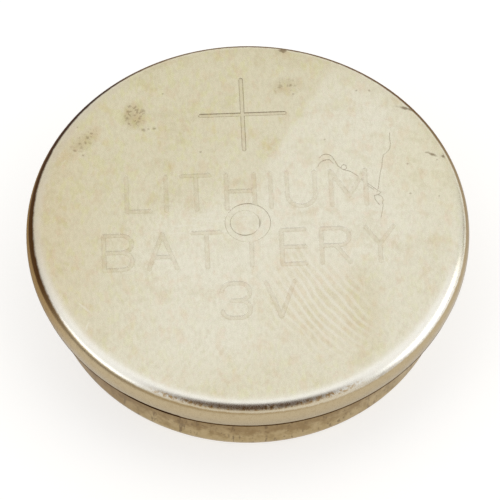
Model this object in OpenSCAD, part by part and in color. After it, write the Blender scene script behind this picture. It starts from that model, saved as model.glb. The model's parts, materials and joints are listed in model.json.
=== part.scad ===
// Thick lithium coin cell of the stepped kind, in millimetres.
// The negative face rests on z = 0 and the stamped positive face looks up. The arms of the
// stamped cross lie along X and Y, and Z is the axis of every turned or drawn piece.

/* [Cell] */
// Height from the negative face to the positive face
cell_h = 5.4; // [5:0.1:7]

/* [Positive can] */
// Diameter over the wall of the can
can_d = 23; // [22.8:0.1:24]
// Height of the can, from its crimped lower edge to the positive face
can_h = 1.75; // [1.7:0.05:2.2]
// Outer radius of the bend around the positive face
can_bend = 0.8; // [0.6:0.05:0.9]
// Height of the straight band of wall below that bend
wall_band = 0.3; // [0.1:0.05:0.35]
// How far the wall leans in from the straight band to the lower bend
wall_lean = 0.1; // [0.05:0.01:0.15]
// Outer radius of the bend where the wall is crimped in
lip_bend = 0.3; // [0.3:0.05:0.35]
// Diameter of the mouth that the crimp leaves open
mouth_d = 21.2; // [21:0.1:21.4]

/* [Negative cap] */
// Diameter over the wall of the cap
cap_d = 20.8; // [20.6:0.1:20.8]
// Outer radius of the bend around the negative face
cap_bend = 0.8; // [0.5:0.05:0.9]
// Diameter over the folded rim that the gasket grips
rim_d = 21.9; // [21.7:0.1:22]

/* [Sheet and seal] */
// Thickness of the nickel-plated steel sheet
sheet = 0.25; // [0.2:0.05:0.25]
// How far the gasket's skirt shows below the crimp
skirt_drop = 0.12; // [0.05:0.01:0.3]
// Inner diameter of the gasket
gasket_bore_d = 19.6; // [19.4:0.1:19.8]

/* [Cell stack] */
// Diameter of the manganese dioxide pellet
pellet_d = 18.6; // [17:0.1:18.8]
// Thickness of the steel current collector
collector_t = 0.1; // [0.05:0.05:0.2]
// Thickness of the separator film
separator_t = 0.15; // [0.1:0.05:0.2]
// Diameter of the lithium disc
lithium_d = 19; // [17:0.1:19]
// Thickness of the lithium disc
lithium_t = 1; // [0.6:0.1:1.4]
// Gap between the rim of the separator cup and the positive can
separator_gap = 0.3; // [0.2:0.05:0.6]

/* [Stamped marks] */
// Width of a stamped stroke
stroke_w = 0.25; // [0.2:0.05:0.3]
// Depth of the stamping
stamp_depth = 0.03; // [0.02:0.01:0.08]
// Length of each line of the polarity cross
cross_l = 4.4; // [3:0.1:4.6]
// Distance of the cross from the centre of the face
cross_y = 6.77; // [6.5:0.01:7.5]
// Outer diameter of the die's centring mark
centre_mark_d = 2.45; // [2:0.05:2.5]
// Width of the ring that the centring mark presses in
centre_mark_w = 0.5; // [0.3:0.05:0.6]
// How far the boss inside that ring lies off its middle
centre_mark_shift = 0.14; // [0:0.02:0.2]
// Height of the letters in the two word rows
letter_h = 2.1; // [1.8:0.1:2.2]
// Clear space between neighbouring letters
letter_gap = 0.85; // [0.6:0.05:0.9]

/* [Hidden] */
$fn = 96;

can_r = can_d / 2;
cap_r = cap_d / 2;
mouth_r = mouth_d / 2;
rim_r = rim_d / 2;
foot_r = can_r - wall_lean;

// Levels, from the negative face up
lip_bottom_z = cell_h - can_h;
lip_top_z = lip_bottom_z + sheet;
ceiling_z = cell_h - sheet;
rim_t = 2 * sheet;
seal_t = (ceiling_z - lip_top_z - rim_t) / 2;
rim_bottom_z = lip_top_z + seal_t;
rim_top_z = rim_bottom_z + rim_t;
lithium_top_z = sheet + lithium_t;
separator_floor_z = lithium_top_z + separator_t;
collector_bottom_z = ceiling_z - collector_t;

// Middles of the can's two bends, as radius and level
top_bend_r = can_r - can_bend;
top_bend_z = cell_h - can_bend;
lip_bend_r = foot_r - lip_bend;
lip_bend_z = lip_bottom_z + lip_bend;

// How far cutting shapes run past the solid that they cut
past = 0.5;

// Rows of stamped words, at the height of each row's middle
upper_row_y = 1.97;
lower_row_y = -1.58;
rating_row_y = -4.74;
rating_row_x = 0.35;

// Letter widths
narrow_w = 1.2;
letter_w = 1.45;
wide_w = 1.8;

// ---- Half sections, with X as the radius and Y as the height ----

// Quarter of a disc, between +X and +Y
module quarter(radius) {
    intersection() {
        circle(radius);
        square(radius);
    }
}

// Half section of a plain ring
module ring_section(inner, outer, low, high) {
    translate([inner, low]) square([outer - inner, high - low]);
}

// All that lies within the can's outer surface, or within one that is inset from it
module can_outline(inset) {
    low = lip_bottom_z + inset;
    high = cell_h - inset;
    polygon([
        [0, low],
        [lip_bend_r, low],
        [lip_bend_r, lip_bend_z],
        [foot_r - inset, lip_bend_z],
        [can_r - inset, top_bend_z - wall_band],
        [can_r - inset, top_bend_z],
        [top_bend_r, top_bend_z],
        [top_bend_r, high],
        [0, high]
    ]);
    translate([lip_bend_r, lip_bend_z]) rotate(-90) quarter(lip_bend - inset);
    translate([top_bend_r, top_bend_z]) quarter(can_bend - inset);
}

module can_section() {
    difference() {
        can_outline(0);
        can_outline(sheet);
        ring_section(0, mouth_r, lip_bottom_z - past, lip_top_z + past);
    }
}

// All that lies within the cap's outer surface, or within one that is inset from it
module cap_outline(inset, top) {
    bend_r = cap_r - cap_bend;
    ring_section(0, bend_r, inset, top);
    ring_section(0, cap_r - inset, cap_bend, top);
    translate([bend_r, cap_bend]) rotate(-90) quarter(cap_bend - inset);
}

// The cap's rim is the sheet folded back on itself, so its edge is fully round
module rim_section() {
    ring_section(cap_r - sheet, rim_r - sheet, rim_bottom_z, rim_top_z);
    translate([rim_r - sheet, rim_bottom_z + sheet]) circle(sheet);
}

module cap_section() {
    difference() {
        cap_outline(0, rim_top_z);
        cap_outline(sheet, rim_top_z + past);
    }
    rim_section();
}

module gasket_section() {
    difference() {
        can_outline(sheet);
        ring_section(0, gasket_bore_d / 2, lip_top_z - past, ceiling_z + past);
        ring_section(0, cap_r, lip_top_z - past, rim_top_z);
        rim_section();
    }
    ring_section(cap_r, mouth_r, lip_bottom_z - skirt_drop, lip_top_z);
}

// ---- Stamped marks, as flat shapes on the positive face ----

// A straight stroke with round ends
module stroke(x1, y1, x2, y2) {
    length = norm([x2 - x1, y2 - y1]);
    translate([x1, y1]) rotate(atan2(y2 - y1, x2 - x1)) {
        translate([0, -stroke_w / 2]) square([length, stroke_w]);
        circle(d = stroke_w);
        translate([length, 0]) circle(d = stroke_w);
    }
}

// A stroke bent to a half circle or less, counter-clockwise from its start angle
module bow(x, y, radius, start, sweep) {
    reach = 3 * radius;
    translate([x, y]) rotate(start) {
        intersection() {
            difference() {
                circle(radius + stroke_w / 2);
                circle(radius - stroke_w / 2);
            }
            polygon([
                [0, 0],
                [reach, 0],
                reach * [cos(sweep / 3), sin(sweep / 3)],
                reach * [cos(sweep * 2 / 3), sin(sweep * 2 / 3)],
                reach * [cos(sweep), sin(sweep)]
            ]);
        }
        translate([radius, 0]) circle(d = stroke_w);
        rotate(sweep) translate([radius, 0]) circle(d = stroke_w);
    }
}

// Each letter stands on y = 0 with its left edge at x = 0 and its strokes' middles
// from 0 to letter_h
module letter(name) {
    mid = letter_h / 2;
    bowl = letter_h / 4;
    if (name == "A") {
        stroke(0, 0, letter_w / 2, letter_h);
        stroke(letter_w, 0, letter_w / 2, letter_h);
        stroke(letter_w / 6, letter_h / 3, letter_w * 5 / 6, letter_h / 3);
    }
    if (name == "B" || name == "R") {
        stroke(0, 0, 0, letter_h);
        stroke(0, letter_h, letter_w - bowl, letter_h);
        stroke(0, mid, letter_w - bowl, mid);
        bow(letter_w - bowl, mid + bowl, bowl, -90, 180);
    }
    if (name == "B") {
        stroke(0, 0, letter_w - bowl, 0);
        bow(letter_w - bowl, bowl, bowl, -90, 180);
    }
    if (name == "R") {
        stroke(letter_w / 2, mid, letter_w, 0);
    }
    if (name == "E" || name == "L") {
        stroke(0, 0, 0, letter_h);
        stroke(0, 0, narrow_w, 0);
    }
    if (name == "E") {
        stroke(0, mid, narrow_w, mid);
        stroke(0, letter_h, narrow_w, letter_h);
    }
    if (name == "H") {
        stroke(0, 0, 0, letter_h);
        stroke(letter_w, 0, letter_w, letter_h);
        stroke(0, mid, letter_w, mid);
    }
    if (name == "I") {
        stroke(0, 0, 0, letter_h);
    }
    if (name == "M") {
        stroke(0, 0, 0, letter_h);
        stroke(0, letter_h, wide_w / 2, mid / 2);
        stroke(wide_w / 2, mid / 2, wide_w, letter_h);
        stroke(wide_w, letter_h, wide_w, 0);
    }
    if (name == "T") {
        stroke(0, letter_h, letter_w, letter_h);
        stroke(letter_w / 2, 0, letter_w / 2, letter_h);
    }
    if (name == "U") {
        stroke(0, letter_w / 2, 0, letter_h);
        stroke(letter_w, letter_w / 2, letter_w, letter_h);
        bow(letter_w / 2, letter_w / 2, letter_w / 2, 180, 180);
    }
    if (name == "V") {
        stroke(0, letter_h, letter_w / 2, 0);
        stroke(letter_w, letter_h, letter_w / 2, 0);
    }
    if (name == "Y") {
        stroke(0, letter_h, letter_w / 2, mid);
        stroke(letter_w, letter_h, letter_w / 2, mid);
        stroke(letter_w / 2, 0, letter_w / 2, mid);
    }
    if (name == "3") {
        stroke(bowl, letter_h, letter_w - bowl, letter_h);
        stroke(bowl, mid, letter_w - bowl, mid);
        stroke(bowl, 0, letter_w - bowl, 0);
        bow(letter_w - bowl, mid + bowl, bowl, -90, 180);
        bow(letter_w - bowl, bowl, bowl, -90, 180);
        bow(bowl, mid + bowl, bowl, 90, 80);
        bow(bowl, bowl, bowl, 190, 80);
    }
}

function width(name) =
    name == "I" ? 0 :
    name == "E" || name == "L" ? narrow_w :
    name == "M" ? wide_w :
    letter_w;

// Where letter number index of a word starts, with the word starting at 0
function start(word, index) =
    index == 0 ? 0 : start(word, index - 1) + width(word[index - 1]) + letter_gap;

module word_row(word, centre_x, centre_y) {
    last = len(word) - 1;
    row_w = start(word, last) + width(word[last]);
    for (index = [0 : last]) {
        translate([centre_x - row_w / 2 + start(word, index), centre_y - letter_h / 2])
            letter(word[index]);
    }
}

module polarity_cross() {
    stroke(-cross_l / 2, cross_y, cross_l / 2, cross_y);
    stroke(0, cross_y - cross_l / 2, 0, cross_y + cross_l / 2);
}

module centre_mark() {
    difference() {
        circle(d = centre_mark_d);
        translate([-centre_mark_shift, 0]) circle(d = centre_mark_d - 2 * centre_mark_w);
    }
}

// The centring mark is pressed last, so it wipes out what it meets of the words
module stamped_marks() {
    polarity_cross();
    centre_mark();
    difference() {
        union() {
            word_row("LITHIUM", 0, upper_row_y);
            word_row("BATTERY", 0, lower_row_y);
            word_row("3V", rating_row_x, rating_row_y);
        }
        circle(d = centre_mark_d);
    }
}

// ---- The pieces ----

// Drawn steel can: the positive pole, with its lower edge crimped in under the gasket
module positive_can() {
    color("#cfc6ab")
    difference() {
        rotate_extrude() can_section();
        translate([0, 0, cell_h - stamp_depth])
            linear_extrude(stamp_depth + past) stamped_marks();
    }
}

// Moulded ring that seals and insulates the can from the cap
module gasket() {
    color("#3a3128") rotate_extrude() gasket_section();
}

// Drawn steel cap: the negative pole, with a rim folded back on itself
module negative_cap() {
    color("#b3aa92") rotate_extrude() cap_section();
}

// Steel disc that carries current from the pellet to the can
module current_collector() {
    color("#9a9a9c") translate([0, 0, collector_bottom_z]) cylinder(h = collector_t, d = pellet_d);
}

// Pressed manganese dioxide cathode
module cathode_pellet() {
    color("#2b2a2a")
    translate([0, 0, separator_floor_z])
        cylinder(h = collector_bottom_z - separator_floor_z, d = pellet_d);
}

// Non-woven film, folded up as a cup around the pellet
module separator() {
    cup_h = ceiling_z - separator_gap - lithium_top_z;
    color("#f1efe8")
    translate([0, 0, lithium_top_z])
    difference() {
        cylinder(h = cup_h, d = pellet_d + 2 * separator_t);
        translate([0, 0, separator_t]) cylinder(h = cup_h, d = pellet_d);
    }
}

// Lithium anode, pressed on the inside of the cap
module lithium_disc() {
    color("#c9ccd0") translate([0, 0, sheet]) cylinder(h = lithium_t, d = lithium_d);
}

positive_can();
gasket();
negative_cap();
current_collector();
cathode_pellet();
separator();
lithium_disc();
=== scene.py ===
"""Looks of a worn lithium coin cell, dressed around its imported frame.

The cell stands on its negative cap with the stamped positive face up. Lengths are in metres, except in
the shaders, where Object coordinates are turned into millimetres first.
"""
import json
import math
import bmesh
import bpy
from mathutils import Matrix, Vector


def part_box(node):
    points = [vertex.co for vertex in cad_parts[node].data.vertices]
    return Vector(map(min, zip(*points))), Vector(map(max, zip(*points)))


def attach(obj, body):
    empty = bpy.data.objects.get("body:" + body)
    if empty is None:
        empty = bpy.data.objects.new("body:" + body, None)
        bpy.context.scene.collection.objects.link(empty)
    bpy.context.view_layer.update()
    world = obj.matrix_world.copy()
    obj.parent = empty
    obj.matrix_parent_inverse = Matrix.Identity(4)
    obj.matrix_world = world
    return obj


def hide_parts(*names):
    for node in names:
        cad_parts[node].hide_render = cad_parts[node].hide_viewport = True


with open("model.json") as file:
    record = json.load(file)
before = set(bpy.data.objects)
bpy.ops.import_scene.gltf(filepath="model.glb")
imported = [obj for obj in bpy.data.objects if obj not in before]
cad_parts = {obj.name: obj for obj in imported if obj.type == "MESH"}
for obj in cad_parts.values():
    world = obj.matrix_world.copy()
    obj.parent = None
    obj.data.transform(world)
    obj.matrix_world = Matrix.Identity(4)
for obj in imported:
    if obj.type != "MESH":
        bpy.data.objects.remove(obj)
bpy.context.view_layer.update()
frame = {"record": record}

# ---- Sizes, from the frame and the sheet ----

MM = 0.001
ROOT = "root"


def tidy(value):
    """A frame measure without the last digits that a faceted circle loses."""
    return round(value, 5)


can_low, can_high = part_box("positive_can")
cap_low, cap_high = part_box("negative_cap")
seal_low, seal_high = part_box("gasket")
can_r = next(m["dims"]["r_mm"] for m in frame["record"]["mounts"] if m["name"] == "can_wall") * MM
face_z = tidy(can_high.z)
lip_z = tidy(can_low.z)
skirt_z = tidy(seal_low.z)
rim_r = tidy(cap_high.x)
rim_top_z = tidy(cap_high.z)

SHEET = 0.25 * MM
TOP_BEND = 0.8 * MM
WALL_BAND = 0.3 * MM
WALL_LEAN = 0.1 * MM
LIP_BEND = 0.3 * MM
MOUTH_R = 10.6 * MM
CAP_R = 10.4 * MM
CAP_BEND = 0.8 * MM
SEAL_BORE_R = 9.8 * MM
FOLD = 2 * SHEET
ceiling_z = face_z - SHEET
lip_top_z = lip_z + SHEET
rim_low_z = rim_top_z - FOLD
band_low_z = face_z - TOP_BEND - WALL_BAND
foot_r = can_r - WALL_LEAN

# Resolution of turned pieces
AROUND = 256
BEND_STEPS = 12
NICK_STEPS = 3

# Points closer together than this are one point
SAME_PLACE = 1e-7

# The share of a wall that its bend takes up, where the two are equally long, so that no face collapses
WHOLE_BEND = 0.98

# The can's edges that turn by more degrees than this stay sharp. Each step of its bends turns by 7.5,
# and the walls of its marks by more.
SHARP_TURN = 8.7

# Stamped marks
CROSS_W = 0.25 * MM
STAMP_DEPTH = 0.03 * MM
LETTER_STROKE_W = 0.30 * MM
LETTER_DEPTH = 0.018 * MM
CROSS_L = 4.4 * MM
CROSS_Y = 6.77 * MM
CENTRE_MARK_R = 1.225 * MM
CENTRE_MARK_W = 0.5 * MM
CENTRE_MARK_SHIFT = 0.14 * MM
LETTER_H = 2.1 * MM
LETTER_GAP = 0.85 * MM
NARROW_W = 1.2 * MM
LETTER_W = 1.45 * MM
WIDE_W = 1.8 * MM
WORD_ROWS = (("LITHIUM", 0, 1.97 * MM), ("BATTERY", 0, -1.58 * MM), ("3V", 0.35 * MM, -4.74 * MM))

# Hairline scratches
HAIR_W = 0.05 * MM
HAIR_DEPTH = 0.012 * MM

# How far the walls of each kind of mark spread, for each millimetre of depth
CROSS_SPREAD = 1.6
LETTER_SPREAD = 4.0
HAIR_SPREAD = 1.9

# How far every punch reaches out above the face
PUNCH_ABOVE = 0.02 * MM


# ---- Modelling tools ----

def deselect():
    bpy.ops.object.select_all(action="DESELECT")


def active(piece):
    deselect()
    piece.select_set(True)
    bpy.context.view_layer.objects.active = piece


def pick(piece, kind, test):
    """Selects in edit mode the vertices, edges or faces that pass a test on their corner points."""
    mesh = bmesh.from_edit_mesh(piece.data)
    bpy.ops.mesh.select_mode(type=kind)
    bpy.ops.mesh.select_all(action="DESELECT")
    if kind == "VERT":
        for vertex in mesh.verts:
            vertex.select_set(test([vertex.co]))
    else:
        for item in mesh.edges if kind == "EDGE" else mesh.faces:
            item.select_set(test([vertex.co for vertex in item.verts]))
    bmesh.update_edit_mesh(piece.data)


def on_ring(radius, height):
    """A test for points that lie on one ring of a turned piece."""
    return lambda points: all(
        abs(math.hypot(p.x, p.y) - radius) < SAME_PLACE and abs(p.z - height) < SAME_PLACE
        for p in points)


def turned(name, outline, bends=(), ring=False, around=AROUND):
    """A turned piece. Its half section goes through the (radius, height) points of outline.

    bends lists (point number, radius, steps) for the corners that are rounded. A ring closes on
    its first point, and any other piece is closed by a flat disc at each end of the outline.
    """
    deselect()
    radius, height = outline[0]
    bpy.ops.mesh.primitive_circle_add(vertices=around, radius=radius, location=(0, 0, height))
    piece = bpy.context.object
    piece.name = name
    bpy.ops.object.transform_apply(location=True)
    bpy.ops.object.mode_set(mode="EDIT")
    bpy.ops.mesh.select_all(action="SELECT")
    for next_radius, next_height in outline[1:] + (outline[:1] if ring else []):
        bpy.ops.mesh.extrude_edges_move(
            TRANSFORM_OT_translate={"value": (0, 0, next_height - height)})
        spread = next_radius / radius
        bpy.ops.transform.resize(value=(spread, spread, 1), center_override=(0, 0, next_height))
        radius, height = next_radius, next_height
    if ring:
        bpy.ops.mesh.select_all(action="SELECT")
        bpy.ops.mesh.remove_doubles(threshold=SAME_PLACE)
    else:
        for end in (outline[0], outline[-1]):
            pick(piece, "EDGE", on_ring(*end))
            bpy.ops.mesh.edge_face_add()
    bpy.ops.mesh.select_all(action="SELECT")
    bpy.ops.mesh.normals_make_consistent(inside=False)
    for number, bend, steps in bends:
        pick(piece, "EDGE", on_ring(*outline[number]))
        bpy.ops.mesh.bevel(offset=bend, offset_type="OFFSET", segments=steps, affect="EDGES")
    bpy.ops.object.mode_set(mode="OBJECT")
    return piece


def smooth(piece, angle=30):
    active(piece)
    bpy.ops.object.shade_smooth_by_angle(angle=math.radians(angle))


def finish_piece(piece, node, material):
    """Gives a piece its material and body, and lets it stand for its CAD node."""
    piece.data.materials.clear()
    piece.data.materials.append(material)
    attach(piece, ROOT)
    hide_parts(node)
    return piece


# ---- Stamped marks ----

def bow(x, y, radius, start, sweep, steps=10):
    """Points along an arc, counter-clockwise from its start angle."""
    angles = [math.radians(start + sweep * step / steps) for step in range(steps + 1)]
    return [(x + radius * math.cos(a), y + radius * math.sin(a)) for a in angles]


def letter_strokes(name):
    """The width of a letter and its strokes, each a line through points, standing on y = 0."""
    w, h, mid, bowl = LETTER_W, LETTER_H, LETTER_H / 2, LETTER_H / 4
    top_bowl = [(0, h)] + bow(w - bowl, mid + bowl, bowl, 90, -180) + [(0, mid)]
    low_bowl = bow(w - bowl, bowl, bowl, 90, -180) + [(0, 0)]
    return {
        "A": (w, [[(0, 0), (w / 2, h), (w, 0)], [(w / 6, h / 3), (w * 5 / 6, h / 3)]]),
        "B": (w, [[(0, 0)] + top_bowl, low_bowl]),
        "E": (NARROW_W, [[(NARROW_W, h), (0, h), (0, 0), (NARROW_W, 0)], [(0, mid), (NARROW_W, mid)]]),
        "H": (w, [[(0, 0), (0, h)], [(w, 0), (w, h)], [(0, mid), (w, mid)]]),
        "I": (0, [[(0, 0), (0, h)]]),
        "L": (NARROW_W, [[(0, h), (0, 0), (NARROW_W, 0)]]),
        "M": (WIDE_W, [[(0, 0), (0, h), (WIDE_W / 2, mid / 2), (WIDE_W, h), (WIDE_W, 0)]]),
        "R": (w, [[(0, 0)] + top_bowl, [(w / 2, mid), (w, 0)]]),
        "T": (w, [[(0, h), (w, h)], [(w / 2, 0), (w / 2, h)]]),
        "U": (w, [[(0, h)] + bow(w / 2, w / 2, w / 2, 180, 180) + [(w, h)]]),
        "V": (w, [[(0, h), (w / 2, 0), (w, h)]]),
        "Y": (w, [[(0, h), (w / 2, mid), (w, h)], [(w / 2, mid), (w / 2, 0)]]),
        "3": (w, [
            bow(bowl, mid + bowl, bowl, 170, -80) + bow(w - bowl, mid + bowl, bowl, 90, -180)
            + [(bowl, mid)],
            low_bowl[:-1] + bow(bowl, bowl, bowl, 270, -80)]),
    }[name]


def word_strokes(word, centre_x, centre_y):
    letters = [letter_strokes(name) for name in word]
    row_w = sum(width for width, strokes in letters) + LETTER_GAP * (len(word) - 1)
    x, y = centre_x - row_w / 2, centre_y - LETTER_H / 2
    for width, strokes in letters:
        for stroke in strokes:
            yield [(x + px, y + py) for px, py in stroke]
        x += width + LETTER_GAP


def press_tool(start, end, width, depth, spread):
    """A tapered punch with round ends, which presses one straight stroke into the face."""
    sides = 12
    (x1, y1), (x2, y2) = start, end
    deselect()
    bpy.ops.mesh.primitive_cone_add(
        vertices=sides, radius1=width / 2 - spread * depth, radius2=width / 2 + spread * PUNCH_ABOVE,
        depth=depth + PUNCH_ABOVE, rotation=(0, 0, math.pi / sides))
    tool = bpy.context.object
    bpy.ops.object.transform_apply(location=True, rotation=True)
    bpy.ops.object.mode_set(mode="EDIT")
    pick(tool, "VERT", lambda points: points[0].x > 0)
    bpy.ops.transform.translate(value=(math.hypot(x2 - x1, y2 - y1), 0, 0))
    bpy.ops.object.mode_set(mode="OBJECT")
    tool.rotation_euler.z = math.atan2(y2 - y1, x2 - x1)
    tool.location = (x1, y1, face_z + (PUNCH_ABOVE - depth) / 2)
    bpy.ops.object.transform_apply(location=True, rotation=True)
    return tool


def press(piece, tools):
    """Presses all the punches into a piece in one cut."""
    rack = bpy.data.collections.new("punches")
    bpy.context.scene.collection.children.link(rack)
    for tool in tools:
        rack.objects.link(tool)
    active(piece)
    cut = piece.modifiers.new("cut", "BOOLEAN")
    cut.operation = "DIFFERENCE"
    cut.solver = "MANIFOLD"
    cut.operand_type = "COLLECTION"
    cut.collection = rack
    bpy.ops.object.modifier_apply(modifier=cut.name)
    for tool in tools:
        bpy.data.objects.remove(tool)
    bpy.data.collections.remove(rack)


def off_the_mark(start, end):
    """The part of a stroke that the centring mark, which is pressed last, leaves in place."""
    clear = CENTRE_MARK_R - CENTRE_MARK_W / 2
    steps = 24
    points = [Vector(start).lerp(Vector(end), step / steps) for step in range(steps + 1)]
    kept = [point for point in points if point.length > clear]
    return [kept[0], kept[-1]] if len(kept) > 1 else [Vector(start)]


def press_strokes(strokes, width, depth, spread):
    return [press_tool(start, end, width, depth, spread)
            for stroke in strokes for start, end in zip(stroke, stroke[1:])]


# ---- Pieces ----

def centre_mark_tool():
    """The ring-shaped punch of the die's centring mark, with its inner edge off the middle."""
    low, high = face_z - STAMP_DEPTH, face_z + PUNCH_ABOVE
    slope = 0.06 * MM
    inner = CENTRE_MARK_R - CENTRE_MARK_W
    punch = turned("centre_punch", [
        (inner + slope, low), (CENTRE_MARK_R - slope, low),
        (CENTRE_MARK_R, high), (inner, high)], ring=True, around=64)
    bpy.ops.object.mode_set(mode="EDIT")
    pick(punch, "VERT", lambda points: points[0].xy.length < CENTRE_MARK_R - CENTRE_MARK_W / 2)
    bpy.ops.transform.translate(value=(-CENTRE_MARK_SHIFT, 0, 0))
    bpy.ops.object.mode_set(mode="OBJECT")
    return punch


def cross_strokes():
    return [
        [(-CROSS_L / 2, CROSS_Y), (CROSS_L / 2, CROSS_Y)],
        [(0, CROSS_Y - CROSS_L / 2), (0, CROSS_Y + CROSS_L / 2)]]


def hair_strokes():
    """Fine curled scratches on the right of the face."""
    lines = [
        bow(4.25, 3.70, 0.38, 150, -120, 6) + [(4.85, 3.31), (5.1, 3.08), (5.5, 2.94), (6.05, 2.47),
                                             (6.5, 2.02), (6.92, 1.63)],
        bow(4.3, 3.21, 0.52, 170, -95, 5) + [(4.6, 3.50)],
        bow(5.15, 3.23, 0.15, 250, 330, 8),
        [(5.9, 2.59), (6.2, 2.17), (6.42, 1.95), (6.62, 1.78)],
        [(7.65, 5.28), (7.62, 4.98), (7.66, 4.64), (7.6, 4.29), (7.42, 4.07), (7.24, 3.90), (7.17, 3.55),
         (7.13, 3.21), (7.02, 2.81), (6.93, 2.27), (6.86, 1.83), (6.78, 1.60)],
        [(7.0, 1.60), (6.8, 1.43), (6.64, 1.40), (6.66, 1.18), (6.78, 0.97), (6.88, 0.81)],
        bow(6.78, 1.14, 0.3, 80, -110, 6) + [(7.06, 0.74), (6.98, 0.35), (6.9, 0.00)]]
    return [[(x * MM, y * MM) for x, y in line] for line in lines]


def build_can(material):
    outline = [
        (can_r - 2 * TOP_BEND, face_z), (can_r, face_z), (can_r, band_low_z),
        (foot_r, lip_z + LIP_BEND), (foot_r, lip_z), (MOUTH_R, lip_z), (MOUTH_R, lip_top_z),
        (foot_r - SHEET, lip_top_z), (can_r - SHEET, band_low_z), (can_r - SHEET, ceiling_z)]
    lip_edge = 0.06 * MM
    can = turned("positive_can_shell", outline, bends=[
        (1, TOP_BEND, BEND_STEPS), (4, WHOLE_BEND * LIP_BEND, BEND_STEPS),
        (5, lip_edge, NICK_STEPS), (6, lip_edge, NICK_STEPS),
        (7, LIP_BEND - SHEET, NICK_STEPS), (9, TOP_BEND - SHEET, BEND_STEPS)])
    words = [off_the_mark(start, end) for row in WORD_ROWS for stroke in word_strokes(*row)
             for start, end in zip(stroke, stroke[1:])]
    press(can, press_strokes(cross_strokes(), CROSS_W, STAMP_DEPTH, CROSS_SPREAD)
          + press_strokes(words, LETTER_STROKE_W, LETTER_DEPTH, LETTER_SPREAD)
          + press_strokes(hair_strokes(), HAIR_W, HAIR_DEPTH, HAIR_SPREAD) + [centre_mark_tool()])
    smooth(can, SHARP_TURN)
    bpy.ops.object.mode_set(mode="EDIT")
    for corner in outline[2:4]:
        pick(can, "EDGE", on_ring(*corner))
        bpy.ops.mesh.mark_sharp(clear=True)
    bpy.ops.object.mode_set(mode="OBJECT")
    return finish_piece(can, "positive_can", material)


def build_gasket(material):
    outline = [
        (CAP_R, skirt_z), (MOUTH_R, skirt_z), (MOUTH_R, lip_top_z), (foot_r - SHEET, lip_top_z),
        (can_r - SHEET, band_low_z), (can_r - SHEET, ceiling_z), (SEAL_BORE_R, ceiling_z),
        (SEAL_BORE_R, rim_top_z), (rim_r, rim_top_z), (rim_r, rim_low_z), (CAP_R, rim_low_z)]
    soft_edge = 0.05 * MM
    gasket = turned("gasket_ring", outline, ring=True, bends=[
        (1, soft_edge, NICK_STEPS), (3, LIP_BEND - SHEET, NICK_STEPS),
        (5, TOP_BEND - SHEET, BEND_STEPS), (6, soft_edge, NICK_STEPS),
        (8, WHOLE_BEND * SHEET, BEND_STEPS), (9, WHOLE_BEND * SHEET, BEND_STEPS)])
    smooth(gasket)
    return finish_piece(gasket, "gasket", material)


def build_cap(material):
    outline = [
        (CAP_R - 2 * CAP_BEND, 0), (CAP_R, 0), (CAP_R, rim_low_z), (rim_r, rim_low_z),
        (rim_r, rim_top_z), (CAP_R - SHEET, rim_top_z), (CAP_R - SHEET, SHEET)]
    cut_edge = 0.1 * MM
    cap = turned("negative_cap_shell", outline, bends=[
        (1, CAP_BEND, BEND_STEPS), (3, WHOLE_BEND * SHEET, BEND_STEPS),
        (4, WHOLE_BEND * SHEET, BEND_STEPS), (5, cut_edge, NICK_STEPS),
        (6, CAP_BEND - SHEET, BEND_STEPS)])
    smooth(cap)
    return finish_piece(cap, "negative_cap", material)


def build_disc(name, node, material, edge):
    """A pressed or punched disc, with its edge broken."""
    low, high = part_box(node)
    radius, bottom, top = tidy(high.x), tidy(low.z), tidy(high.z)
    disc = turned(name, [(radius, bottom), (radius, top)],
                  bends=[(0, edge, NICK_STEPS), (1, edge, NICK_STEPS)])
    smooth(disc)
    return finish_piece(disc, node, material)


def build_separator(material):
    low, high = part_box("separator")
    radius, bottom, top = tidy(high.x), tidy(low.z), tidy(high.z)
    film = tidy(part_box("cathode_pellet")[0].z) - bottom
    corner = 0.6 * film
    cup = turned("separator_cup", [
        (radius, bottom), (radius, top), (radius - film, top), (radius - film, bottom + film)],
        bends=[(0, corner, NICK_STEPS)])
    smooth(cup)
    return finish_piece(cup, "separator", material)


# ---- Shader tools ----

class Signal:
    """A shader socket that takes part in sums and products, each of which adds a Math node."""

    def __init__(self, finish, socket):
        self.finish = finish
        self.socket = socket

    def of(self, name):
        """Another output of the same node."""
        return Signal(self.finish, self.socket.node.outputs[name])

    def __add__(self, other):
        return self.finish.maths("ADD", self, other)

    def __radd__(self, other):
        return self.finish.maths("ADD", other, self)

    def __sub__(self, other):
        return self.finish.maths("SUBTRACT", self, other)

    def __rsub__(self, other):
        return self.finish.maths("SUBTRACT", other, self)

    def __mul__(self, other):
        return self.finish.maths("MULTIPLY", self, other)

    def __rmul__(self, other):
        return self.finish.maths("MULTIPLY", other, self)

    def __pow__(self, other):
        return self.finish.maths("POWER", self, other)

    def __or__(self, other):
        """The larger of two masks."""
        return self.finish.maths("MAXIMUM", self, other)


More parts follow.
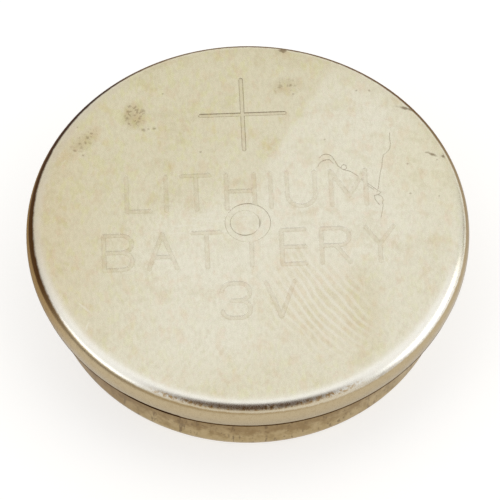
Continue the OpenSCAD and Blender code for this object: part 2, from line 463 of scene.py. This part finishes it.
class Finish:
    """A procedural material for one kind of surface. Its place is in millimetres."""

    def __init__(self, name, **constants):
        self.material = bpy.data.materials.new(name)
        self.material.use_nodes = True
        self.tree = self.material.node_tree
        self.shader = self.tree.nodes["Principled BSDF"]
        for socket, value in constants.items():
            self.shader.inputs[socket.replace("_", " ")].default_value = value
        corner = self.node("TexCoord", output="Object")
        self.place = self.node("VectorMath", {"operation": "SCALE"}, {0: corner, "Scale": 1 / MM})
        self.x = self.node("SeparateXYZ", sockets={0: self.place})
        self.y, self.z = self.x.of("Y"), self.x.of("Z")

    def node(self, kind, settings=None, sockets=None, output=0):
        """Adds a node, sets it up, feeds its sockets with values or links, and returns an output."""
        made = self.tree.nodes.new("ShaderNode" + kind)
        for key, value in (settings or {}).items():
            setattr(made, key, value)
        for key, value in (sockets or {}).items():
            self.feed(made.inputs[key], value)
        return Signal(self, made.outputs[output])

    def feed(self, socket, value):
        if isinstance(value, Signal):
            self.tree.links.new(value.socket, socket)
        else:
            socket.default_value = value

    def maths(self, operation, *values):
        return self.node("Math", {"operation": operation}, dict(enumerate(values)))

    def noise(self, scale, detail=2, roughness=0.5, seed=0, place=None):
        """Clouds around 0.5. scale is how many there are to a millimetre."""
        return self.node("TexNoise", {"noise_dimensions": "4D"}, {
            "Vector": place or self.place, "W": seed, "Scale": scale, "Detail": detail,
            "Roughness": roughness})

    def streaks(self, scale, long, turn=90, seed=0):
        """Clouds drawn out to long times their width in one direction, in degrees from X."""
        place = self.node("CombineXYZ", sockets={
            0: self.along(turn) * (1 / long), 1: self.along(turn + 90), 2: self.z})
        return self.noise(scale, 2, 0.6, seed, place)

    def step(self, value, low, high):
        """Rises smoothly from 0 at low to 1 at high."""
        return self.node("MapRange", {"interpolation_type": "SMOOTHSTEP"}, {
            "Value": value, "From Min": low, "From Max": high})

    def tint(self, mask, under, over):
        """The colour under, covered by the colour over where the mask is 1."""
        return self.node("Mix", {"data_type": "RGBA"}, {0: mask, 6: under, 7: over}, output=2)

    def stain(self, mask, under, filter_colour):
        """The colour under, seen through a filter where the mask is 1."""
        return self.node("Mix", {"data_type": "RGBA", "blend_type": "MULTIPLY"}, {
            0: mask, 6: under, 7: filter_colour + (1,)}, output=2)

    def reach(self):
        """The distance from the cell's axis."""
        return (self.x * self.x + self.y * self.y) ** 0.5

    def tilt(self):
        """How far the surface leans over: 0 where it faces up, and 1 where it stands upright."""
        facing = self.node("TexCoord", output="Normal")
        return 1 - self.node("SeparateXYZ", sockets={0: facing}).of("Z")

    def along(self, turn, x=0, y=0):
        """The distance across the face from (x, y), in a direction in degrees from X."""
        a = math.radians(turn)
        return self.x * math.cos(a) + self.y * math.sin(a) - (x * math.cos(a) + y * math.sin(a))

    def spot(self, x, y, long, short, turn=0, edge=0.5, warp=0):
        """A soft ellipse on the face: 1 inside, fading over edge, a share of its size."""
        u = self.along(turn, x, y) * (1 / long)
        v = self.along(turn + 90, x, y) * (1 / short)
        share = (u * u + v * v) ** 0.5 + warp
        return 1 - self.step(share, 1 - edge, 1 + edge)

    def dots(self, points, height, warp=0):
        """Small soft specks, each given as (x, y, radius)."""
        marks = 0
        for x, y, radius in points:
            gap = self.node("VectorMath", {"operation": "DISTANCE"}, {
                0: self.place, 1: (x, y, height)}, output=1)
            mark = 1 - self.step(gap * (1 / radius) + warp, 0.2, 1.3)
            marks = mark | marks
        return marks

    def bump(self, height):
        """Feeds the shader's Normal from a height in millimetres."""
        normal = self.node("Bump", sockets={"Strength": 1.0, "Distance": MM, "Height": height})
        self.feed(self.shader.inputs["Normal"], normal)

    def paint(self, colour, roughness=None, metallic=None):
        """Feeds the shader's main sockets, and returns the finished material."""
        for name, value in (("Base Color", colour), ("Roughness", roughness), ("Metallic", metallic)):
            if value is not None:
                self.feed(self.shader.inputs[name], value)
        return self.material


# ---- Finishes ----

# Heights of the can's face and lip in the shaders' millimetres
FACE_MM = face_z / MM
LIP_MM = lip_z / MM

CLEAN_NICKEL = (0.885, 0.868, 0.765, 1)
TARNISHED_NICKEL = (0.785, 0.745, 0.583, 1)
# Painted highlight for the front of the can's rounded edge
FRONT_SHEEN = (0.95, 0.94, 0.91, 1)
GREYED_EDGE = (0.76, 0.715, 0.68, 1)
# The wall's plate, darker and browner than the face: partly its own tarnish, partly a painted reflection
# of a tan table
WALL_NICKEL = (0.51, 0.415, 0.265, 1)
CAP_NICKEL = (0.51, 0.39, 0.205, 1)
# Painted shade for the cap high up, under the overhang of the can's lip
CAP_SHADE_UNDER_LIP = (0.36, 0.25, 0.118, 1)
GREASE = (0.90, 0.88, 0.80, 1)
GRIME = (0.20, 0.13, 0.06, 1)
# Painted shade on the can's lip for the dark seam under it, and its darkest part
SEAM_SHADE = (0.125, 0.064, 0.021, 1)
DARKEST_SEAM_SHADE = (0.06, 0.024, 0.007, 1)

# Lone specks of dirt on the face, as (x, y, radius)
SPECKS = (
    (-5.22, 7.22, 0.13), (-5.90, 7.52, 0.10), (-6.00, 7.21, 0.09), (-6.05, 6.76, 0.10),
    (-5.40, 6.76, 0.08), (-5.95, 6.42, 0.09), (-5.22, 6.02, 0.11), (-4.95, 6.05, 0.07),
    (-4.66, 6.06, 0.10), (-5.62, 6.96, 0.07), (-8.15, 5.65, 0.10), (-7.93, 5.90, 0.08),
    (-8.58, 5.28, 0.09), (-8.25, 5.33, 0.08), (-8.85, 4.86, 0.09), (-8.42, 4.54, 0.07),
    (-8.66, 6.32, 0.06), (-4.12, 8.26, 0.06), (-2.28, 4.49, 0.07), (4.23, 5.01, 0.06),
    (2.62, 8.51, 0.10), (2.72, 7.95, 0.06), (6.05, 8.04, 0.06), (6.72, 8.01, 0.06),
    (8.48, 3.31, 0.07), (8.52, 1.46, 0.06), (10.0, 1.23, 0.06), (10.32, 3.75, 0.10),
    (10.02, 3.50, 0.06))

# Specks on the bend, and rust spots on the face, in the same way
FRONT_BEND_SPECKS = ((0.55, -11.13, 0.10), (0.92, -11.12, 0.09))
RIGHT_BEND_SPECKS = ((10.36, 3.74, 0.15),)
RUST_SPOTS = ((-3.85, 3.61, 0.3), (-9.35, 4.49, 0.4), (1.2, 4.74, 0.4))

# Smears of dirt, as (x, y, half length, half width, turn)
SMEARS = ((8.55, 6.83, 0.42, 0.09, -12), (9.78, 3.85, 0.25, 0.08, -25), (2.25, 10.79, 0.22, 0.14, 0))


def can_tarnish(f, drift, blotch, grain, streak, ragged):
    """Tarnish rubbed away in patches, lightest across the middle and to the upper right, over a painted
    light gradient.
    """
    # Painted light: the face lightens steadily towards the right and the front, and the rubbed patches
    # add to it.
    rubbed_and_lit = f.maths("MINIMUM", 0.42 + f.x * 0.035 - f.y * 0.045 + drift * 0.5, 0.72)
    rubbed_and_lit = rubbed_and_lit + f.spot(0.3, -1.4, 6.4, 3.1, edge=0.3, warp=ragged) * 0.5
    swept = f.step(f.along(-31, 2.4, 5.7) + ragged * 1.1, -0.2, 0.2)
    rubbed_and_lit = rubbed_and_lit + swept * f.spot(5.6, 4.2, 5.0, 5.0, turn=60, edge=0.4, warp=drift) * 0.55
    rubbed_and_lit = rubbed_and_lit + f.spot(-2.8, -5.0, 3.2, 3.0, edge=0.5, warp=ragged) * 0.3
    rubbed_and_lit = rubbed_and_lit - f.spot(5.7, -5.2, 0.9, 2.8, edge=0.6, warp=ragged) * 0.45
    rubbed_and_lit = rubbed_and_lit - f.spot(0.5, -10.2, 5.0, 1.6, edge=0.8, warp=drift) * 0.30
    colour = f.tint(rubbed_and_lit + grain * 0.35, TARNISHED_NICKEL, CLEAN_NICKEL)

    # Uneven film: olive, pink and grey casts, and the fine upright grain of the plate
    olive = f.step(f.streaks(3.2, 2.0, seed=21) + blotch * 0.6, 0.50, 0.68) * (1.25 - rubbed_and_lit)
    colour = f.stain(olive, colour, (0.985, 1.0, 0.905))
    colour = f.stain(f.step(f.streaks(1.5, 1.5, seed=8), 0.50, 0.66), colour, (0.985, 0.94, 0.915))
    dulled = f.step(f.noise(0.9, 3, 0.6, seed=14) + grain * 0.3, 0.50, 0.66)
    colour = f.stain(dulled, colour, (0.96, 0.95, 0.92))
    colour = f.stain(f.step(f.noise(5, 2, 0.6, seed=9), 0.52, 0.66), colour, (1.0, 0.962, 0.985))
    colour = f.stain(f.step(f.x * -1 + drift * 4, 6.5, 11.0), colour, (0.96, 0.92, 0.87))
    right = f.spot(9.6, 3.6, 2.2, 3.0, edge=0.6, warp=drift)
    colour = f.stain(right, colour, (0.965, 0.955, 0.90))
    return f.stain(f.step(streak + grain * 0.6, -0.2, 0.25), colour, (0.915, 0.91, 0.895))


def fingerprint(f, x, y, arch_x, arch_y, pitch, long, short, turn, waver):
    """The ridges of a finger, as arcs about a far centre, in a soft oval."""
    u, v = f.x - arch_x, f.y - arch_y
    ridge = ((u * u + v * v) ** 0.5 + waver * 0.5) * (2 * math.pi / pitch)
    wave = f.maths("SINE", ridge + waver * 3)
    pressed = f.spot(x, y, long, short, turn=turn, edge=0.6, warp=waver)
    return f.step(wave, -0.4, 1.0) * pressed


def can_grease(f, colour, ragged):
    """Finger grease, rubbed lines and two nicks. Returns the colour and the ridges of the prints."""
    waver = f.noise(0.5, 2, 0.5, seed=11) - 0.5
    ridges = fingerprint(f, 3.2, -4.9, 16.0, 3.3, 0.41, 3.0, 2.3, -56, waver)
    ridges = ridges | (fingerprint(f, -2.8, -8.4, -12.0, -1.0, 0.40, 3.0, 1.6, 20, waver) * 0.3)
    smudge = f.spot(3.6, -5.2, 3.2, 2.2, turn=-56, edge=0.5, warp=ragged)
    colour = f.stain(smudge, colour, (0.975, 0.95, 0.915))
    colour = f.tint(ridges * 0.6, colour, GREASE)
    lines = f.step(f.streaks(6.5, 7, turn=0, seed=31), 0.52, 0.66)
    lines = lines * f.spot(-1.3, -0.1, 3.4, 0.9, edge=0.5)
    nicks = f.spot(-8.6, -4.85, 0.45, 0.06, turn=-45) | f.spot(-8.5, -6.0, 0.25, 0.05, turn=70)
    return f.tint(lines * 0.45 | nicks * 0.45, colour, GREASE), ridges


def can_bend(f, colour):
    """The rounded edge: a painted highlight at the front, specked painted shade low on the front, and
    greyer left.
    """
    reach, front = f.reach(), f.y * -1
    # Painted highlight: the front of the edge is lightened towards white.
    front_sheen = f.step(reach, 10.45, 11.0) * f.step(front, 1.0, 6.0)
    colour = f.tint(front_sheen * 0.7, colour, FRONT_SHEEN)
    greyed = f.step(reach, 10.5, 10.95) * f.step(f.along(165), 7.5, 9.5)
    colour = f.tint(greyed * 0.45, colour, GREYED_EDGE)
    # Painted shade, broken into specks: the low front of the bend, where it reflects the room's dark
    # patch, is browned and darkened.
    low = f.step(f.z, FACE_MM - 0.26, FACE_MM - 0.20) * (1 - f.step(f.z, FACE_MM - 0.12, FACE_MM - 0.06))
    specks = f.step(f.noise(5, 3, 0.7, seed=17), 0.42, 0.62)
    return f.stain(low * f.step(front, 9.4, 10.4) * specks, colour, (0.60, 0.42, 0.22))


def can_wall(f, colour, grain, streak):
    """The dull wall, browner round the back and banded on the left, with painted shade on its lip.

    Returns the colour, where the lip's painted shade is, and where the wall is made matt.
    """
    left = f.step(f.along(165), 6.5, 10.0)
    # The wall's colour, with its painted reflection, reaches up onto the bend by different heights round
    # the cell.
    level = f.z - f.maths("MINIMUM", f.y, 0) * 0.0115 - f.step(f.y, 0, 9) * 0.06 + grain * 0.08
    level = level + f.x * f.step(f.y * -1, -9, 5) * 0.009
    wall = 1 - f.step(level, FACE_MM - 0.235, FACE_MM - 0.145)
    plate = f.stain(1 - f.step(f.z, LIP_MM + 0.3, LIP_MM + 1.05), WALL_NICKEL, (0.87, 0.87, 0.87))
    plate = f.stain(f.step(grain + streak, -0.1, 0.3), plate, (0.92, 0.90, 0.87))
    plate = f.stain(f.step(f.y, -7.0, 2.0), plate, (0.66, 0.58, 0.46))
    plate = f.stain(f.step(f.y, 2.0, 8.0), plate, (0.50, 0.38, 0.26))
    plate = f.stain(left, plate, (1.0, 0.85, 0.62))
    dark_band = left * f.step(f.z, FACE_MM - 0.42, FACE_MM - 0.32)
    plate = f.stain(dark_band, plate, (0.26, 0.19, 0.16))
    colour = f.tint(wall, colour, plate)
    matt = wall * (f.step(f.y, -2.0, 6.0) | left) * 0.8
    # Painted shade: the lip is painted dark and made matt for the seam under it, thicker and darker in a
    # patch at the front left.
    thick_seam_shade = f.spot(-5.3, -10.05, 1.6, 1.2, turn=-27, edge=0.4, warp=grain)
    lip = 1 - f.step(f.z + grain * 0.08 - thick_seam_shade * 0.12, LIP_MM + 0.305, LIP_MM + 0.38)
    return f.tint(lip, colour, f.tint(thick_seam_shade, SEAM_SHADE, DARKEST_SEAM_SHADE)), lip, matt


def can_marks(f, colour, grain):
    """The stamped marks and the hairlines. Returns the colour and where their walls are.

    Only the steeper walls hold grime: those of the cross, the centring mark and the hairlines.
    """
    flat = 1 - f.step(f.reach(), 10.0, 10.1)
    outside = f.step(f.z, LIP_MM + 0.5, LIP_MM + 0.6)
    depth = (FACE_MM - f.z) * flat * outside
    tilt = f.tilt()
    walls = f.step(tilt, 0.02, 0.035) * f.step(depth, 0.0005, 0.002)
    colour = f.tint(f.step(tilt, 0.07, 0.09) * walls * 0.25, colour, GRIME)
    floor = f.step(depth, 0.001, 0.009) * (1 - f.spot(0, 0, 1.2, 1.2, edge=0.03))
    return f.stain(floor * (0.75 + grain), colour, (0.92, 0.895, 0.865)), walls


def can_dirt(f, colour, drift, grain):
    """Stained patches with crumbs, smears, specks and rust. Returns the colour and the dirt."""
    patches = f.spot(-5.65, 7.01, 0.6, 0.75, edge=0.5, warp=drift)
    patches = patches | f.spot(-8.3, 5.43, 0.8, 0.35, turn=45, edge=0.7)
    patches = patches | (f.spot(2.3, 8.45, 0.75, 0.45, turn=15, edge=0.7, warp=drift) * 0.8)
    colour = f.stain(patches, colour, (0.88, 0.84, 0.75))
    crumbs = f.step(f.noise(6, 2, 0.6, seed=2), 0.53, 0.62) * patches
    warp = f.noise(9, 2, 0.7) * 2.6 - 1.3
    smears = f.dots(FRONT_BEND_SPECKS, FACE_MM - 0.145, warp)
    smears = smears | f.dots(RIGHT_BEND_SPECKS, FACE_MM - 0.05, warp)
    for x, y, long, short, turn in SMEARS:
        smears = smears | f.spot(x, y, long, short, turn=turn, edge=0.6, warp=grain * 3)
    smears = smears | (f.spot(0.64, 0.0, 0.06, 0.28, turn=-8, edge=0.6, warp=grain) * 0.4)
    dirt = f.dots(SPECKS, FACE_MM, warp) * 0.42 | smears * 0.7 | crumbs * 0.4
    colour = f.tint(dirt, colour, GRIME)
    return f.stain(f.dots(RUST_SPOTS, FACE_MM, warp), colour, (0.955, 0.905, 0.83)), dirt


def can_finish():
    """Nickel plate that has been handled: tarnish, a rubbed patch over a painted light gradient, finger
    grease and specks of dirt, with painted highlight and shade on its edge and lip.
    """
    f = Finish("can_nickel", Metallic=1.0, Specular_IOR_Level=0.0)
    drift = f.noise(0.45, 3, 0.6) - 0.5
    blotch = f.noise(1.1, 3, 0.6, seed=3) - 0.5
    grain = f.noise(3.2, 3, 0.65, seed=5) - 0.5
    streak = f.streaks(6.5, 2.2) - 0.5
    ragged = drift * 1.1 + streak * 0.35
    colour = can_tarnish(f, drift, blotch, grain, streak, ragged)
    colour, ridges = can_grease(f, colour, ragged)
    colour = can_bend(f, colour)
    colour, lip, matt = can_wall(f, colour, grain, streak)
    colour, walls = can_marks(f, colour, grain)
    colour, dirt = can_dirt(f, colour, drift, grain)
    roughness = 0.27 + grain * 0.12 + blotch * 0.06 + dirt * 0.4 + walls * 0.3
    below_face = 1 - f.step(f.z, FACE_MM - 0.02, FACE_MM - 0.01)
    dimples = f.noise(7, 2, 0.6, seed=12) * below_face
    f.bump(drift * 0.004 + grain * 0.0018 + streak * 0.0006 + ridges * 0.0004 + dimples * 0.0015)
    return f.paint(colour, roughness + lip * 0.4, 1 - (lip | matt))


def gasket_finish():
    f = Finish("gasket_plastic", Roughness=0.55)
    grain = f.noise(1.5, 4, 0.6)
    colour = f.tint(f.step(grain, 0.35, 0.7), (0.035, 0.026, 0.019, 1), (0.09, 0.065, 0.045, 1))
    f.bump(f.noise(9, 3) * 0.004)
    return f.paint(colour)


def cap_finish():
    """Duller nickel plate, tanned and specked all over, with painted shade that darkens it high up under
    the lip.
    """
    f = Finish("cap_nickel", Metallic=1.0)
    grain = f.noise(2.2, 4, 0.65) - 0.5
    upright = f.node("VectorMath", {"operation": "MULTIPLY"}, {0: f.place, 1: (1, 1, 0.35)})
    fleck = f.step(f.noise(4.2, 3, 0.7, seed=24, place=upright), 0.56, 0.64)
    fleck = fleck | (f.step(f.noise(5, 2, 0.6, seed=13), 0.60, 0.68) * 0.8)
    cloud = f.noise(1.9, 3, 0.65, seed=7) - 0.5
    # Painted shade: the cap darkens high up, under the overhang of the can's lip.
    colour = f.tint(f.step(f.z + grain + cloud * 2, 1.0, 1.9), CAP_NICKEL, CAP_SHADE_UNDER_LIP)
    colour = f.stain(f.step(cloud, -0.1, 0.15), colour, (0.84, 0.80, 0.70))
    colour = f.stain(f.step(f.along(160), 1.5, 5.0), colour, (0.68, 0.58, 0.42))
    colour = f.tint(fleck * 0.75, colour, GRIME)
    f.bump(grain * 0.003)
    return f.paint(colour, 0.30 + grain * 0.12)


def collector_finish():
    f = Finish("collector_steel", Metallic=1.0)
    lines = f.noise(1, 4, 0.6, f.node("Mapping", sockets={"Vector": f.place, "Scale": (0.4, 9, 1)}))
    f.bump(lines * 0.002)
    return f.paint(f.tint(lines, (0.48, 0.48, 0.49, 1), (0.62, 0.62, 0.63, 1)), 0.3 + lines * 0.2)


def cathode_finish():
    f = Finish("cathode_powder", Roughness=0.85)
    grain = f.noise(8, 4, 0.7)
    f.bump(grain * 0.02)
    return f.paint(f.tint(grain, (0.015, 0.014, 0.014, 1), (0.05, 0.047, 0.045, 1)))


def separator_finish():
    f = Finish("separator_film", Roughness=0.8)
    fibre = f.noise(5, 5, 0.75)
    f.bump(fibre * 0.01)
    return f.paint(f.tint(fibre, (0.72, 0.71, 0.67, 1), (0.90, 0.89, 0.86, 1)))


def lithium_finish():
    f = Finish("lithium_metal", Metallic=1.0)
    cloud = f.noise(0.8, 5, 0.65)
    f.bump(cloud * 0.01)
    return f.paint(f.tint(cloud, (0.42, 0.42, 0.44, 1), (0.72, 0.73, 0.75, 1)), 0.35 + cloud * 0.25)


# ---- Studio ----

FOCUS = Vector((0, 0, face_z))
LAMPS_AWAY = 0.6
FLOOR_GAP = 0.02 * MM
FLOOR_GREY = (0.5, 0.5, 0.5, 1)


def direction(azimuth, elevation):
    """The way from the cell to a stand. Azimuth 0 is the camera's side and 90 is along +X."""
    a, e = math.radians(azimuth), math.radians(elevation)
    return Vector((math.sin(a) * math.cos(e), -math.cos(a) * math.cos(e), math.sin(e)))


def softbox(name, azimuth, elevation, width, height, glow):
    """A soft lamp that faces the cell. glow is its brightness as the cell sees it."""
    light = bpy.data.lights.new(name, "AREA")
    light.shape = "RECTANGLE"
    light.size, light.size_y = width, height
    light.energy = glow * math.pi * width * height
    lamp = bpy.data.objects.new(name, light)
    way = direction(azimuth, elevation)
    lamp.location = FOCUS + way * LAMPS_AWAY
    lamp.rotation_euler = (-way).to_track_quat("-Z", "Y").to_euler()
    lamp.visible_camera = False
    bpy.context.scene.collection.objects.link(lamp)


def build_floor():
    """A pale floor, a little below the cell's foot, that reads as white and keeps the shadow."""
    deselect()
    bpy.ops.mesh.primitive_plane_add(size=8, location=(0, 0, -FLOOR_GAP))
    floor = bpy.context.object
    floor.name = "floor"
    f = Finish("floor_white", Base_Color=FLOOR_GREY, Roughness=0.9, Specular_IOR_Level=0.0)
    path = f.node("LightPath", output="Is Camera Ray")
    seen_direct, seen_mirrored = 0.68, 0.6
    mirrored = path.of("Is Glossy Ray") + path.of("Is Transmission Ray")
    seen = path * seen_direct + mirrored * seen_mirrored
    glow = f.node("Emission", sockets={"Color": (1, 1, 1, 1), "Strength": seen})
    both = f.node("AddShader", sockets={0: Signal(f, f.shader.outputs[0]), 1: glow})
    f.feed(f.tree.nodes["Material Output"].inputs["Surface"], both)
    floor.data.materials.append(f.material)


def build_world():
    """A pale room with a white horizon, and a dark patch where the camera stands."""
    world = bpy.data.worlds.new("room")
    bpy.context.scene.world = world
    world.use_nodes = True
    tree = world.node_tree
    where = tree.nodes.new("ShaderNodeTexCoord").outputs["Generated"]

    def share(way, low, high):
        """How far a direction leans towards a way, from 0 at the cosine low to 1 at high."""
        lean = tree.nodes.new("ShaderNodeVectorMath")
        lean.operation = "DOT_PRODUCT"
        lean.inputs[1].default_value = way
        rise = tree.nodes.new("ShaderNodeMapRange")
        rise.interpolation_type = "SMOOTHSTEP"
        rise.inputs["From Min"].default_value = low
        rise.inputs["From Max"].default_value = high
        tree.links.new(where, lean.inputs[0])
        tree.links.new(lean.outputs["Value"], rise.inputs["Value"])
        return rise.outputs[0]

    def cover(under, mask, over):
        blend = tree.nodes.new("ShaderNodeMix")
        blend.data_type = "RGBA"
        tree.links.new(mask, blend.inputs[0])
        if isinstance(under, tuple):
            blend.inputs[6].default_value = under
        else:
            tree.links.new(under, blend.inputs[6])
        blend.inputs[7].default_value = over
        return blend.outputs[2]

    up, down = (0, 0, 1), (0, 0, -1)
    colour = (0.16, 0.11, 0.06, 1)
    for way, low, high, paint in (
            (up, 0.10, 0.40, (0.72, 0.72, 0.70, 1)),                    # walls
            (up, 0.45, 0.90, (1.0, 0.99, 0.96, 1)),                     # ceiling
            (direction(0, 5), 0.55, 0.80, (0.68, 0.59, 0.44, 1)),       # tan wall behind the camera
            (direction(180, 10), 0.45, 0.80, (0.84, 0.81, 0.72, 1)),    # pale wall across from it
            (direction(0, 59), 0.868, 0.948, (0.055, 0.02, 0.002, 1)),  # dark patch round the camera
            (down, -0.08, -0.05, (1, 1, 1, 1))):                        # white up to the horizon
        colour = cover(colour, share(way, low, high), paint)
    tree.links.new(colour, tree.nodes["Background"].inputs["Color"])


def build_camera():
    away = 0.300
    lens = 417
    azimuth, elevation = -2.4, 57.0
    aim_right, aim_down = 0.112 * MM, 1.42 * MM
    camera = bpy.data.objects.new("camera", bpy.data.cameras.new("camera"))
    way = direction(azimuth, elevation)
    camera.location = FOCUS + way * away
    turn = (-way).to_track_quat("-Z", "Y")
    aim = FOCUS + turn @ Vector((aim_right, -aim_down, 0))
    camera.rotation_euler = (aim - camera.location).to_track_quat("-Z", "Y").to_euler()
    camera.data.lens = lens
    camera.data.sensor_width = 36
    camera.data.clip_start = 0.01
    bpy.context.scene.collection.objects.link(camera)
    bpy.context.scene.camera = camera


build_can(can_finish())
build_gasket(gasket_finish())
build_cap(cap_finish())
build_disc("collector_disc", "current_collector", collector_finish(), edge=0.02 * MM)
build_disc("cathode_tablet", "cathode_pellet", cathode_finish(), edge=0.15 * MM)
build_separator(separator_finish())
build_disc("lithium_foil", "lithium_disc", lithium_finish(), edge=0.1 * MM)

build_floor()
build_world()
softbox("right_softbox", azimuth=87, elevation=23, width=0.48, height=0.34, glow=1.1)
softbox("left_softbox", azimuth=-75, elevation=32, width=0.34, height=0.15, glow=1.15)
build_camera()
bpy.context.scene.view_settings.view_transform = "Standard"
